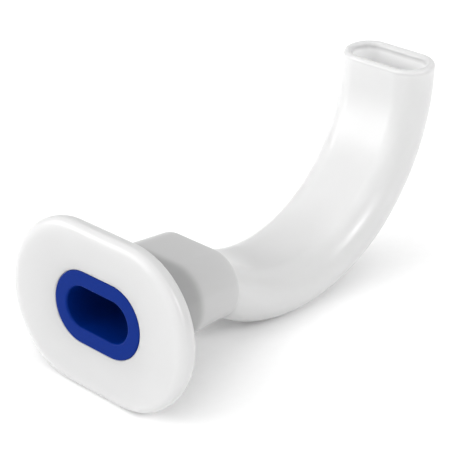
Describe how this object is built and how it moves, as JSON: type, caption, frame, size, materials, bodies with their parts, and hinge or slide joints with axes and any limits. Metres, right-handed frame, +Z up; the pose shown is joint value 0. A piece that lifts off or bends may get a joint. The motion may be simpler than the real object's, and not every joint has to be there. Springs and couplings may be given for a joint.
{
  "type": "oropharyngeal airway",
  "caption": "Curved, flattened oral airway tube with an oval, slightly dished lip flange, a stepped neck and a rigid slotted bite block, lying at rest on its flange edge and the belly of its curve.",
  "frame": {"origin": "centre of the bounding box's underside, on the surface that the airway rests on", "axes": "+X along the object's length from the flange towards the far end of the curve, +Y across its width, +Z up from the resting surface; the neck's axis slopes down towards +X by the resting tilt"},
  "size_m": [0.0538, 0.0264, 0.0254],
  "materials": {
    "soft_polyethylene": "natural translucent white, smooth satin to semi-gloss as moulded",
    "blue_polypropylene": "opaque deep blue, semi-gloss as moulded"
  },
  "bodies": {
    "root": {"airway_body": "soft_polyethylene", "bite_block": "blue_polypropylene"}
  },
  "joints": []
}
